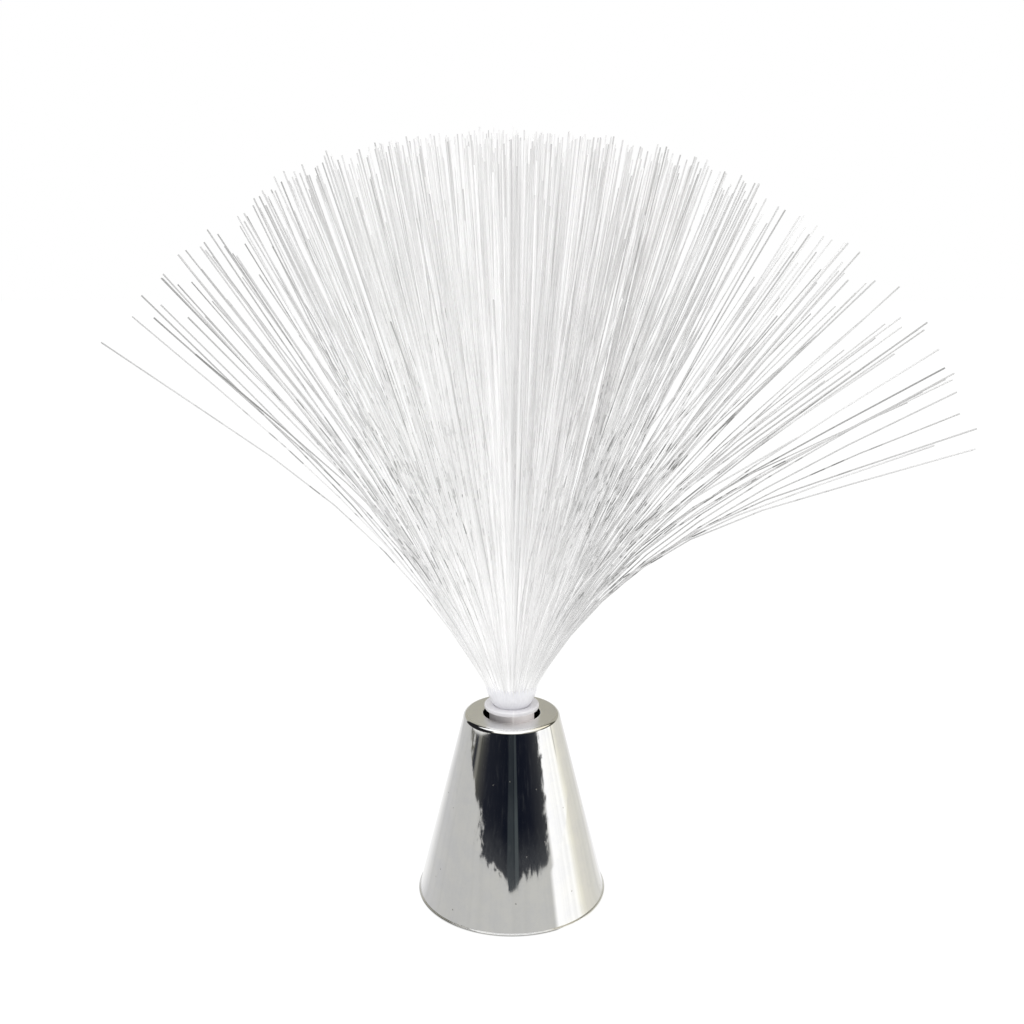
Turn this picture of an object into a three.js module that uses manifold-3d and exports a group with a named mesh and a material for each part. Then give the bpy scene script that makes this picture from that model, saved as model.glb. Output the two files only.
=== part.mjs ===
import * as THREE from 'three';
import { mergeVertices } from 'three/addons/utils/BufferGeometryUtils.js';
import Module from 'manifold-3d';

// A small battery-powered fibre optic lamp: a chromed cone that holds three button cells, a slide
// switch and a board with three light-emitting diodes, and a spray of clear fibres that is potted
// in a sleeve and plugs into the white tube above the diodes.
// Lengths are in millimetres and angles in degrees. Z is up, the origin is the middle of the
// underside that the lamp stands on, and -Y is the front.

// Chromed cone
const coneFootRadius = 30;
const coneTopRadius = 15;
const coneTop = 61;
const coneWall = 1.8;
const coneTopPlate = 2;
const coneLift = 0.3;
const coneShoulder = 1.2;
const beadHeight = 1;
const beadProud = 0.35;
const beadEdgeShare = 0.25;
const mouthGap = 0.35;
const mouthChamfer = 0.5;

// Bosses under the cone's wall for the cover, and posts under its top plate for the board
const bossRadius = 2.5;
const bossInset = 7;
const bossTop = 26;
const bossRib = 1.2;
const postRadius = 2.3;
const postGap = 0.55;
const coverScrewAngles = [30, 150, 270];
const boardScrewAngles = [90, 210, 330];

// Screws
const screwRadius = 1;
const screwGap = 0.2;
const screwHeadRadius = 1.9;
const screwHeadHeight = 1.2;
const screwFaceShare = 0.8;
const screwEdgeShare = 1 / 3;
const screwCrossWidth = 0.5;
const screwCrossShare = 0.6;
const screwCrossDepthShare = 0.5;
const boardScrewLength = 9;
const coverScrewLength = 8;
const doorScrewLength = 5;
const doorScrewHeadHeight = 0.8;
const pilotSpare = 1;

// White tube that holds the spray over the diodes
const tubeWall = 0.85;
const tubeLength = 27;
const collarHeight = 2.85;
const lipProud = 1.2;
const lipHeight = 1.7;
const lipEdge = 0.45;
const flangeThickness = 2;
const flangeMargin = 0.1;
const ledgeThickness = 1.2;

// Board and what it carries
const boardThickness = 1.6;
const ledRadius = 2.5;
const ledFlange = 0.4;
const ledFlangeThickness = 1;
const ledHeight = 8.6;
const ledGap = 0.2;
const ledHeadroom = 0.6;
const ledLead = 0.5;
const ledLeadPitch = 2.54;
const leadHoleRadius = 0.5;
const leadTail = 1.5;
const blobRadius = 2.5;
const blobHeight = 1.3;
const resistorRadius = 1.15;
const resistorWaist = 0.9;
const resistorLength = 6.3;
const resistorCapShare = 0.25;
const resistorLead = 0.5;
const resistorPitch = 9;
const resistorCircle = 8.3;
const resistorAngles = [30, 150, 270];
const seatGap = 0.2;

// Spray of fibres
const sleeveRadius = 5.5;
const sleeveWall = 0.6;
const sleeveGap = 0.2;
const sleeveLength = 14.5;
const potRadius = 8.8;
const potHeight = 7.15;
const potEdge = 0.5;
const flareRadiusShare = 0.6;
const flareHeightShare = 0.47;
const sliceGap = 0.2;
const strandCount = 300;
const strandSides = 3;
const strandRadius = 0.26;
const strandLength = 162.5;
const strandSink = 1.2;
const strandEdge = 0.1;
const innerRingShares = [0.4, 1];
const outerRingShares = [0.15, 0.35, 0.6, 1];
const outerPlaceShare = 0.7;
const exitAngle = 27.5;
const exitPower = 1.5;
const tipAngle = 63.5;
const tipLean = 10.5;
const tipFlat = 6;
const bendPower = 8;
const bendEndShare = 0.85;
const pathSteps = 60;

// Bottom cover
const coverThickness = 2.4;
const coverGap = 0.3;
const coverEdge = 0.4;

// Button cells and the bay that holds them
const cellRadius = 5.8;
const cellHeight = 5.4;
const cellCapRadius = 4.9;
const cellCapHeight = 0.4;
const cellEdge = 0.4;
const cellCount = 3;
const cellSpacing = 0.2;
const bayGap = 0.5;
const bayWall = 1.5;
const bayBossGap = 1.1;
const bayCeiling = 1.5;

// Battery door
const doorThickness = 1.4;
const doorLift = 0.3;
const doorGap = 0.2;
const doorSideGap = 0.3;
const doorLedge = 1.2;
const doorEar = 5;
const doorBossRadius = 2.2;
const doorBossCap = 1;
const doorRibPitch = 1.6;
const doorRibDepth = 0.4;
const doorRibWidth = 0.6;
const doorRibLength = 7;
const doorRibCount = 3;

// Contacts
const stripThickness = 0.4;
const stripGap = 0.2;
const stripWidth = 6;
const stripFoot = 1.5;
const tabWidth = 2.4;
const tabRise = 3;
const tabHoleRadius = 0.5;
const slotGap = 0.15;
const leafReach = 2;
const leafHeight = 7;

// Slide switch
const switchY = 14;
const switchWidth = 3.6;
const switchHeight = 3.5;
const switchWall = 0.6;
const switchTravel = 2;
const sliderLength = 5;
const sliderHeight = 1.2;
const sliderGap = 0.2;
const knobLength = 1.6;
const knobWidth = 1.4;
const knobRecess = 0.5;
const terminalPitch = 2.5;
const terminalWidth = 1.2;
const terminalThickness = 0.5;
const terminalRise = 3;
const terminalDepth = 0.9;
const hookThickness = 1;
const hookNose = 0.5;
const hookWidth = 3;

// Wires
const wireRadius = 0.6;
const wireStub = 2;
const wireGap = 0.2;
const wireSides = 8;
const wireSteps = 12;
const wireArch = 9;
const switchedPadAngle = 150;
const negativePadAngle = 250;

// Facets of round shapes, and how far a cutting solid runs past what it cuts
const roundFacets = 40;
const smallFacets = 16;
const pinFacets = 10;
const arcSteps = 3;
const overrun = 1;

// Sizes that follow from the ones above
const degree = Math.PI / 180;
const wallTilt = Math.atan2(coneFootRadius - coneTopRadius, coneTop - coneLift);
const ledFlangeRadius = ledRadius + ledFlange;
const ledCircle = (ledFlangeRadius + ledGap / 2) / Math.cos(30 * degree);
const chamberRadius = ledCircle + ledFlangeRadius + ledGap;
const boreRadius = sleeveRadius + sleeveGap;
const tubeRadius = Math.max(chamberRadius, boreRadius) + tubeWall;
const lipRadius = tubeRadius + lipProud;
const mouthRadius = lipRadius + mouthGap;
const plateUnderside = coneTop - coneTopPlate;
const tubeRim = coneTop + collarHeight;
const tubeFoot = tubeRim - tubeLength;
const flangeTop = tubeFoot + flangeThickness;
const boardUnderside = tubeFoot - boardThickness;
const postCircle = mouthRadius + postGap + postRadius;
const flangeRadius = postCircle + postRadius + flangeMargin;
const chamberTop = tubeFoot + ledHeight + ledHeadroom;
const ledgeTop = chamberTop + ledgeThickness;
const sleeveInside = sleeveRadius - sleeveWall;
const sleeveFoot = ledgeTop + seatGap;
const potTop = tubeRim + potHeight;
const strandMargin = strandRadius + sliceGap;
const fieldRadius = potRadius - strandRadius - strandEdge - strandMargin * Math.SQRT2;
const goldenAngle = 180 * (3 - Math.sqrt(5));
const boardPilotTop = boardUnderside + boardScrewLength + pilotSpare;
const bossCircle = innerRadius(coverThickness) - bossInset;
const coverCounterbore = screwHeadHeight + seatGap;
const coverPilotTop = coverCounterbore + coverScrewLength + pilotSpare;
const cellStack = cellCount * cellHeight + (cellCount - 1) * cellSpacing;
const bayHalfLength = (cellStack + leafReach) / 2 + stripThickness + 2 * stripGap;
const bayHalfWidth = cellRadius + bayGap;
const bayCentreY = bossRadius + bayBossGap + bayWall + bayHalfWidth - bossCircle;
const doorTop = doorLift + doorThickness;
const recessTop = doorTop + doorGap;
const recessHalfLength = bayHalfLength + bayWall + doorEar;
const recessHalfWidth = bayHalfWidth + doorLedge;
const doorScrewX = bayHalfLength + bayWall + doorEar / 2;
const doorPilotTop = doorLift + doorScrewHeadHeight + doorScrewLength + pilotSpare;
const doorBossTop = doorPilotTop + doorBossCap;
const cellAxis = recessTop + seatGap + cellRadius;
const bayTop = cellAxis + cellRadius + bayGap;
const ceilingTop = bayTop + bayCeiling;
const stripX = bayHalfLength - stripGap - stripThickness / 2;
const tabTop = ceilingTop + tabRise;
const sliderCavity = sliderLength + switchTravel + 2 * sliderGap;
const switchLength = sliderCavity + 2 * switchWall;
const slotLength = knobLength + switchTravel + 2 * sliderGap;
const terminalTop = coverThickness + switchHeight + terminalRise;

const materials = {
  chrome: { color: 0xc9c8c6, roughness: 0.06, metalness: 1 },
  clearFibre: { color: 0xf4f4f8, roughness: 0.2, metalness: 0 },
  whitePlastic: { color: 0xeceaf2, roughness: 0.4, metalness: 0 },
  blackPlastic: { color: 0x1b1b1d, roughness: 0.5, metalness: 0 },
  board: { color: 0x2f6b3c, roughness: 0.5, metalness: 0 },
  steel: { color: 0xa8a9ab, roughness: 0.3, metalness: 1 },
  brass: { color: 0xc6a24c, roughness: 0.3, metalness: 1 },
  cell: { color: 0xc2c3c4, roughness: 0.22, metalness: 1 },
  red: { color: 0xd2302c, roughness: 0.25, metalness: 0 },
  green: { color: 0x35a552, roughness: 0.25, metalness: 0 },
  blue: { color: 0x2f62c9, roughness: 0.25, metalness: 0 },
  resistor: { color: 0xcdb58a, roughness: 0.5, metalness: 0 },
};

const wasm = await Module();
wasm.setup();

// The cone's outside and inside radius at a height.
function outerRadius(z) {
  return coneFootRadius - (z - coneLift) * Math.tan(wallTilt);
}

function innerRadius(z) {
  return outerRadius(z) - coneWall / Math.cos(wallTilt);
}

// A point at a distance from the Z axis, at an angle from +X.
function polar(radius, angle) {
  return [radius * Math.cos(angle * degree), radius * Math.sin(angle * degree)];
}

// Points on an arc in a plane, from one angle to another, both included.
function arc(centre, radius, from, to, steps = arcSteps) {
  return Array.from({ length: steps + 1 }, (_, i) => {
    const [x, y] = polar(radius, from + (to - from) * i / steps);
    return [centre[0] + x, centre[1] + y];
  });
}

// A geometry as a solid that can be joined and cut.
function solid(geometry) {
  const bare = geometry.clone();
  bare.deleteAttribute('normal');
  bare.deleteAttribute('uv');
  const welded = mergeVertices(bare);
  const corners = welded.index.array;
  const triVerts = [];
  for (let i = 0; i < corners.length; i += 3) {
    const [a, b, c] = corners.slice(i, i + 3);
    if (a !== b && b !== c && c !== a) {
      triVerts.push(a, b, c);
    }
  }
  const vertProperties = Float32Array.from(welded.attributes.position.array);
  return new wasm.Manifold(new wasm.Mesh({
    numProp: 3,
    vertProperties,
    triVerts: Uint32Array.from(triVerts),
  }));
}

function geometryOf(body) {
  const { numProp, vertProperties, triVerts } = body.getMesh();
  const geometry = new THREE.BufferGeometry();
  const positions = new THREE.BufferAttribute(Float32Array.from(vertProperties), numProp);
  geometry.setAttribute('position', positions);
  geometry.setIndex(Array.from(triVerts));
  const faceted = geometry.toNonIndexed();
  faceted.computeVertexNormals();
  return faceted;
}

// A profile of [radius, height] points, listed anticlockwise, turned about the Z axis.
function revolve(profile, facets = roundFacets) {
  const points = profile.map(([radius, height]) => new THREE.Vector2(radius, height));
  if (profile[0][0] > 0) {
    points.push(points[0].clone());
  }
  return solid(new THREE.LatheGeometry(points, facets).rotateX(Math.PI / 2));
}

function rod(radius, from, to, [x, y] = [0, 0], facets = smallFacets) {
  const geometry = new THREE.CylinderGeometry(radius, radius, to - from, facets);
  return solid(geometry.rotateX(Math.PI / 2).translate(x, y, (from + to) / 2));
}

function blockGeometry([x0, x1], [y0, y1], [z0, z1]) {
  const geometry = new THREE.BoxGeometry(x1 - x0, y1 - y0, z1 - z0);
  return geometry.translate((x0 + x1) / 2, (y0 + y1) / 2, (z0 + z1) / 2);
}

function block(x, y, z, turn = 0) {
  return solid(blockGeometry(x, y, z).rotateZ(turn * degree));
}

// The range that reaches half a size to each side of a middle.
function about(middle, half) {
  return [middle - half, middle + half];
}

// An outline of [x, y] points given a thickness along Z.
function slab(outline, thickness) {
  const shape = new THREE.Shape(outline.map(([x, y]) => new THREE.Vector2(x, y)));
  return new THREE.ExtrudeGeometry(shape, { depth: thickness, bevelEnabled: false });
}

function join(...bodies) {
  return bodies.reduce((sum, body) => sum.add(body));
}

function cut(body, ...tools) {
  return tools.reduce((rest, tool) => rest.subtract(tool), body);
}

function piece(name, body, finish) {
  const mesh = new THREE.Mesh(geometryOf(body), new THREE.MeshStandardMaterial(materials[finish]));
  mesh.name = name;
  return mesh;
}

function placed(mesh, x, y, z, turn = 0) {
  mesh.position.set(x, y, z);
  mesh.rotation.z = turn * degree;
  return mesh;
}

function group(...members) {
  const set = new THREE.Group();
  set.add(...members);
  return set;
}

// Chromed cone: a tapered shell with a bead at its foot, a rounded shoulder, a chamfered mouth,
// three ribbed bosses for the bottom cover and three posts for the board.
function coneHousing() {
  const beadEdge = beadHeight * beadEdgeShare;
  const shoulderZ = coneTop - coneShoulder;
  const shoulderR = outerRadius(shoulderZ) - coneShoulder / Math.cos(wallTilt);
  const shell = revolve([
    [innerRadius(coneLift), coneLift],
    [coneFootRadius, coneLift],
    [coneFootRadius + beadProud, coneLift + beadEdge],
    [coneFootRadius + beadProud, coneLift + beadHeight - beadEdge],
    [outerRadius(coneLift + beadHeight), coneLift + beadHeight],
    ...arc([shoulderR, shoulderZ], coneShoulder, wallTilt / degree, 90),
    [mouthRadius + mouthChamfer, coneTop],
    [mouthRadius, coneTop - mouthChamfer],
    [mouthRadius, plateUnderside],
    [innerRadius(plateUnderside), plateUnderside],
  ]);
  const middleZ = coneTop - coneTopPlate / 2;
  const withinWall = revolve([
    [0, coneLift],
    [outerRadius(coneLift) - coneWall / 2, coneLift],
    [outerRadius(middleZ) - coneWall / 2, middleZ],
    [0, middleZ],
  ]);
  const bosses = coverScrewAngles.map((angle) => join(
    rod(bossRadius, coverThickness, bossTop, polar(bossCircle, angle)),
    block([bossCircle, coneFootRadius], about(0, bossRib / 2), [coverThickness, bossTop], angle),
  ));
  const posts = boardScrewAngles.map((angle) => (
    rod(postRadius, flangeTop, middleZ, polar(postCircle, angle))
  ));
  const pilots = [
    ...coverScrewAngles.map((angle) => rod(
      screwRadius + screwGap, coverThickness - overrun, coverPilotTop, polar(bossCircle, angle), pinFacets,
    )),
    ...boardScrewAngles.map((angle) => rod(
      screwRadius + screwGap, flangeTop - overrun, boardPilotTop, polar(postCircle, angle), pinFacets,
    )),
  ];
  const inner = join(...bosses, ...posts).intersect(withinWall);
  return piece('cone_housing', cut(join(shell, inner), ...pilots), 'chrome');
}

// White tube: its collar stands out of the cone's mouth with a lip at its rim, a ledge inside stops
// the spray, the wide chamber below it takes the diodes, and its flange is clamped between the
// posts and the board.
function socketTube() {
  const body = revolve([
    [chamberRadius, tubeFoot],
    [flangeRadius, tubeFoot],
    [flangeRadius, flangeTop],
    [tubeRadius, flangeTop],
    [tubeRadius, tubeRim - lipHeight],
    [lipRadius, tubeRim - lipHeight],
    ...arc([lipRadius - lipEdge, tubeRim - lipEdge], lipEdge, 0, 90),
    [boreRadius + lipEdge, tubeRim],
    [boreRadius, tubeRim - lipEdge],
    [boreRadius, ledgeTop],
    [sleeveInside, ledgeTop],
    [sleeveInside, chamberTop],
    [chamberRadius, chamberTop],
  ]);
  const holes = boardScrewAngles.map((angle) => rod(
    screwRadius + screwGap, tubeFoot - overrun, flangeTop + overrun, polar(postCircle, angle), pinFacets,
  ));
  return piece('socket_tube', cut(body, ...holes), 'whitePlastic');
}

// Where the two leads of the diode at an angle go through the board.
function leadPlaces(angle) {
  const [x, y] = polar(ledCircle, angle);
  return [-1, 1].map((side) => {
    const [dx, dy] = polar(side * ledLeadPitch / 2, angle + 90);
    return [x + dx, y + dy];
  });
}

function ledBoard() {
  const body = rod(flangeRadius, boardUnderside, tubeFoot, [0, 0], roundFacets);
  const hole = (radius, place) => (
    rod(radius, boardUnderside - overrun, tubeFoot + overrun, place, pinFacets)
  );
  return piece('led_board', cut(
    body,
    ...boardScrewAngles.map((angle) => hole(screwRadius + screwGap, polar(postCircle, angle))),
    ...boardScrewAngles.flatMap(leadPlaces).map((place) => hole(leadHoleRadius, place)),
  ), 'board');
}

// Diode with a domed lens, a flange and two leads, standing on the board.
function led(name, angle, finish) {
  const domeZ = ledHeight - ledRadius;
  const lens = revolve([
    [0, 0],
    [ledFlangeRadius, 0],
    [ledFlangeRadius, ledFlangeThickness],
    [ledRadius, ledFlangeThickness],
    ...arc([0, domeZ], ledRadius, 0, 90, 2 * arcSteps),
  ], smallFacets);
  const leads = [-1, 1].map((side) => block(
    about(0, ledLead / 2),
    about(side * ledLeadPitch / 2, ledLead / 2),
    [-boardThickness - leadTail, ledFlangeThickness / 2],
  ));
  return placed(piece(name, join(lens, ...leads), finish), ...polar(ledCircle, angle), tubeFoot, angle);
}

// Resin blob over the controller chip, under the middle of the board.
function controllerBlob() {
  const rise = 90 / arcSteps;
  const dome = Array.from({ length: arcSteps + 1 }, (_, i) => [
    blobRadius * Math.sin(i * rise * degree),
    -blobHeight * Math.cos(i * rise * degree),
  ]);
  const body = revolve([...dome, [0, 0]], smallFacets);
  return placed(piece('controller_blob', body, 'blackPlastic'), 0, 0, boardUnderside - seatGap);
}

// Resistor lying under the board, with its body waisted between two caps and its leads bent up.
function resistor(name, angle) {
  const half = resistorLength / 2;
  const cap = half - resistorLength * resistorCapShare;
  const drop = resistorRadius + seatGap;
  const profile = [
    [0, -half],
    [resistorRadius, -half],
    [resistorRadius, -cap],
    [resistorWaist, -cap + (resistorRadius - resistorWaist)],
    [resistorWaist, cap - (resistorRadius - resistorWaist)],
    [resistorRadius, cap],
    [resistorRadius, half],
    [0, half],
  ];
  const points = profile.map(([radius, height]) => new THREE.Vector2(radius, height));
  const core = solid(new THREE.LatheGeometry(points, pinFacets));
  const lead = about(0, resistorLead / 2);
  const reach = resistorPitch / 2;
  const wire = block(lead, about(0, reach), lead);
  const legs = [-1, 1].map((side) => block(
    lead,
    about(side * (reach - resistorLead / 2), resistorLead / 2),
    [-resistorLead / 2, drop],
  ));
  const [x, y] = polar(resistorCircle, angle);
  const body = join(core, wire, ...legs);
  return placed(piece(name, body, 'resistor'), x, y, boardUnderside - seatGap - drop, angle);
}

// Screw with its head down and its shank up, and a cross recess in the head.
function screwBody(length, headHeight) {
  const body = revolve([
    [0, 0],
    [screwHeadRadius * screwFaceShare, 0],
    [screwHeadRadius, headHeight * screwEdgeShare],
    [screwHeadRadius, headHeight],
    [screwRadius, headHeight],
    [screwRadius, headHeight + length - screwRadius],
    [0, headHeight + length],
  ], pinFacets);
  const arm = about(0, screwHeadRadius * screwCrossShare);
  const width = about(0, screwCrossWidth / 2);
  const depth = [-overrun, headHeight * screwCrossDepthShare];
  return cut(body, block(arm, width, depth), block(width, arm, depth));
}

// Sleeve round the foot of the bundle, which slides into the white tube.
function bundleSleeve() {
  const top = sleeveFoot + sleeveLength;
  return piece('bundle_sleeve', revolve([
    [sleeveInside, sleeveFoot],
    [sleeveRadius, sleeveFoot],
    [sleeveRadius, top],
    [sleeveInside, top],
  ]), 'blackPlastic');
}

// Potted foot of the whole bundle: a core in the sleeve that widens below the tube's rim and opens
// like a trumpet over it, to a flat top.
function pottedCore() {
  const coreRadius = sleeveInside - sleeveGap;
  const sleeveTop = sleeveFoot + sleeveLength + seatGap;
  return revolve([
    [0, sleeveFoot],
    [coreRadius, sleeveFoot],
    [coreRadius, sleeveTop],
    [sleeveRadius, sleeveTop],
    [sleeveRadius, tubeRim + seatGap],
    [
      sleeveRadius + (potRadius - sleeveRadius) * flareRadiusShare,
      tubeRim + potHeight * flareHeightShare,
    ],
    [potRadius, potTop - potEdge],
    [potRadius, potTop],
    [0, potTop],
  ], smallFacets);
}

// Path of one fibre in its own upright plane: [distance, height, tilt] at each ring. Its tilt
// grows along a sine from the exit angle to the tip angle, as its weight bends it. Only the
// fibres near the rim of the bundle bend far, and those at the front and back a little less.
function strandPath(radius, azimuth) {
  const place = radius / fieldRadius;
  const exit = exitAngle * place ** exitPower;
  const lean = tipLean * Math.cos(azimuth * degree) - tipFlat * Math.sin(azimuth * degree) ** 2;
  const tip = exit + (tipAngle + lean - exitAngle) * place ** bendPower;
  const tilt = (share) => (
    (exit + (tip - exit) * Math.sin(Math.PI / 2 * Math.min(1, share / bendEndShare))) * degree
  );
  const rings = [[
    radius - strandSink * Math.sin(tilt(0)),
    potTop - strandSink * Math.cos(tilt(0)),
    tilt(0),
  ]];
  const ringShares = place > outerPlaceShare ? outerRingShares : innerRingShares;
  const step = strandLength / pathSteps;
  let r = radius;
  let z = potTop;
  for (let i = 1; i <= pathSteps; i += 1) {
    const middle = tilt((i - 1 / 2) / pathSteps);
    r += step * Math.sin(middle);
    z += step * Math.cos(middle);
    if (ringShares.some((share) => Math.round(share * pathSteps) === i)) {
      rings.push([r, z, tilt(i / pathSteps)]);
    }
  }
  return rings;
}

// One fibre as a thin closed bar along its path. Its plane goes through a point set off from the
// axis, so that the whole quarter of the bundle stands clear of its neighbours.
function strand([radius, azimuth], [offsetX, offsetY]) {
  const [outX, outY] = polar(1, azimuth);
  const path = strandPath(radius, azimuth);
  const positions = path.flatMap(([r, z, tilt]) => (
    Array.from({ length: strandSides }, (_, k) => {
      const [along, across] = polar(strandRadius, 360 * k / strandSides);
      const out = r + along * Math.cos(tilt);
      return [
        offsetX + out * outX - across * outY,
        offsetY + out * outY + across * outX,
        z - along * Math.sin(tilt),
      ];
    })
  ));
  const faces = [];
  for (let ring = 0; ring < path.length - 1; ring += 1) {
    for (let k = 0; k < strandSides; k += 1) {
      const a = ring * strandSides + k;
      const b = ring * strandSides + (k + 1) % strandSides;
      faces.push(a, b, b + strandSides, a, b + strandSides, a + strandSides);
    }
  }
  const last = (path.length - 1) * strandSides;
  for (let k = 1; k < strandSides - 1; k += 1) {
    faces.push(0, k + 1, k, last, last + k, last + k + 1);
  }
  const geometry = new THREE.BufferGeometry();
  geometry.setAttribute('position', new THREE.Float32BufferAttribute(positions.flat(), 3));
  geometry.setIndex(faces);
  return solid(geometry);
}

// Roots of the fibres in one quarter of the bundle, as [radius, azimuth] on a sunflower spiral.
function strandRoots(quarterStart) {
  return Array.from({ length: strandCount }, (_, i) => [
    fieldRadius * Math.sqrt((i + 1 / 2) / strandCount),
    i * goldenAngle,
  ]).filter(([, azimuth]) => THREE.MathUtils.euclideanModulo(azimuth - quarterStart, 360) < 90);
}

// A quarter of the bundle: a slice of the potted foot with its fibres.
function fibreQuarter(name, middleAngle, core) {
  const start = middleAngle - 45;
  const side = [sliceGap / 2, potRadius + overrun];
  const quarter = core.intersect(block(side, side, [sleeveFoot - overrun, potTop + overrun], start));
  const offset = polar(strandMargin * Math.SQRT2, middleAngle);
  const strands = strandRoots(start).map((root) => strand(root, offset));
  return piece(name, join(quarter, ...strands), 'clearFibre');
}

// Bottom cover: the plate that the lamp stands on, with the battery bay over its door recess,
// bosses for the door screws, counterbores for its own screws, and hooks for the switch.
function bottomCover() {
  const edge = (z) => innerRadius(z) - coverGap;
  const plate = revolve([
    [0, 0],
    [edge(0) - coverEdge, 0],
    [edge(coverEdge), coverEdge],
    [edge(coverThickness), coverThickness],
    [0, coverThickness],
  ]);
  const bay = block(
    about(0, bayHalfLength + bayWall),
    about(bayCentreY, bayHalfWidth + bayWall),
    [coverThickness / 2, ceilingTop],
  );
  const doorBosses = [-1, 1].map((side) => (
    rod(doorBossRadius, recessTop, doorBossTop, [side * doorScrewX, bayCentreY])
  ));
  const cavity = block(about(0, bayHalfLength), about(bayCentreY, bayHalfWidth), [-overrun, bayTop]);
  const recess = block(
    about(0, recessHalfLength),
    about(bayCentreY, recessHalfWidth),
    [-overrun, recessTop],
  );
  const tabSlots = [-1, 1].map((side) => block(
    about(side * stripX, stripThickness / 2 + slotGap),
    about(bayCentreY, tabWidth / 2 + slotGap),
    [bayTop - overrun, ceilingTop + overrun],
  ));
  const doorPilots = [-1, 1].map((side) => rod(
    screwRadius + screwGap,
    recessTop - overrun,
    doorPilotTop,
    [side * doorScrewX, bayCentreY],
    pinFacets,
  ));
  const screwHoles = coverScrewAngles.flatMap((angle) => [
    rod(screwRadius + screwGap, -overrun, coverThickness + overrun, polar(bossCircle, angle), pinFacets),
    rod(screwHeadRadius + screwGap, -overrun, coverCounterbore, polar(bossCircle, angle)),
  ]);
  const knobSlot = block(
    about(0, slotLength / 2),
    about(switchY, knobWidth / 2 + sliderGap),
    [-overrun, coverThickness + overrun],
  );
  return piece('bottom_cover', cut(
    join(plate, bay, ...doorBosses, ...switchHooks()),
    cavity, recess, knobSlot, ...tabSlots, ...doorPilots, ...screwHoles,
  ), 'blackPlastic');
}

// Two spring hooks that hold the switch case by its ends.
function switchHooks() {
  const inside = switchLength / 2 + sliderGap;
  const under = coverThickness + switchHeight + sliderGap;
  const outline = [
    [inside, coverThickness / 2],
    [inside + hookThickness, coverThickness / 2],
    [inside + hookThickness, under + hookNose],
    [inside, under + 2 * hookNose],
    [inside - hookNose, under],
    [inside, under],
  ];
  return [-1, 1].map((side) => {
    const sided = outline.map(([x, z]) => [side * x, z]);
    const geometry = slab(side > 0 ? sided : sided.reverse(), hookWidth);
    return solid(geometry.rotateX(Math.PI / 2).translate(0, switchY + hookWidth / 2, 0));
  });
}

// Battery door: a flat plate with an ear and a sunk screw hole at each end, and finger ribs.
function batteryDoor() {
  const plate = block(
    about(0, recessHalfLength - doorSideGap),
    about(bayCentreY, recessHalfWidth - doorSideGap),
    [doorLift, doorTop],
  );
  const holes = [-1, 1].flatMap((side) => {
    const place = [side * doorScrewX, bayCentreY];
    return [
      rod(screwRadius + screwGap, -overrun, doorTop + overrun, place, pinFacets),
      rod(screwHeadRadius + screwGap, -overrun, doorLift + doorScrewHeadHeight, place),
    ];
  });
  const ribs = Array.from({ length: doorRibCount }, (_, i) => block(
    about((i - (doorRibCount - 1) / 2) * doorRibPitch, doorRibWidth / 2),
    about(bayCentreY, doorRibLength / 2),
    [-overrun, doorLift + doorRibDepth],
  ));
  return piece('battery_door', cut(plate, ...holes, ...ribs), 'blackPlastic');
}

// Button cell lying along X, with its smaller cap towards -X.
function buttonCell(name, x) {
  const half = cellHeight / 2;
  const body = revolve([
    [0, -half],
    [cellCapRadius, -half],
    [cellCapRadius, cellCapHeight - half],
    [cellRadius - cellEdge, cellCapHeight - half],
    [cellRadius, cellCapHeight + cellEdge - half],
    [cellRadius, half - cellEdge],
    [cellRadius - cellEdge, half],
    [0, half],
  ], smallFacets);
  const mesh = placed(piece(name, body, 'cell'), x, bayCentreY, cellAxis);
  mesh.rotation.y = Math.PI / 2;
  return mesh;
}

// Flat contact strip in the plane across X, with a solder tab that goes up through the bay's top.
function contactStrip(x) {
  const foot = recessTop + stripFoot;
  const shoulder = bayTop - bayGap;
  const outline = [
    [-stripWidth / 2, foot],
    [stripWidth / 2, foot],
    [stripWidth / 2, shoulder],
    [tabWidth / 2, shoulder],
    [tabWidth / 2, tabTop],
    [-tabWidth / 2, tabTop],
    [-tabWidth / 2, shoulder],
    [-stripWidth / 2, shoulder],
  ];
  const geometry = slab(outline, stripThickness).rotateX(Math.PI / 2).rotateZ(Math.PI / 2);
  const strip = solid(geometry.translate(x - stripThickness / 2, bayCentreY, 0));
  const hole = new THREE.CylinderGeometry(tabHoleRadius, tabHoleRadius, stripThickness + overrun, pinFacets);
  const holeZ = tabTop - tabWidth / 2;
  return cut(strip, solid(hole.rotateZ(Math.PI / 2).translate(x, bayCentreY, holeZ)));
}

// The negative contact's bowed leaf, which presses on the last cell. Its ends run into the strip.
function contactLeaf(x) {
  const root = x - stripThickness / 2;
  const bow = (reach) => Array.from({ length: 2 * arcSteps + 1 }, (_, i) => {
    const share = i / (2 * arcSteps);
    const height = cellAxis + leafHeight * (share - 1 / 2);
    return [root + reach * Math.sin(Math.PI * share), height];
  });
  const outer = bow(leafReach + stripThickness / 2);
  const inner = bow(leafReach - stripThickness / 2);
  const outline = [...outer, ...inner.slice(1, -1).reverse()];
  const geometry = slab(outline, stripWidth / 2).rotateX(Math.PI / 2);
  return solid(geometry.translate(0, bayCentreY + stripWidth / 4, 0));
}

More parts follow.
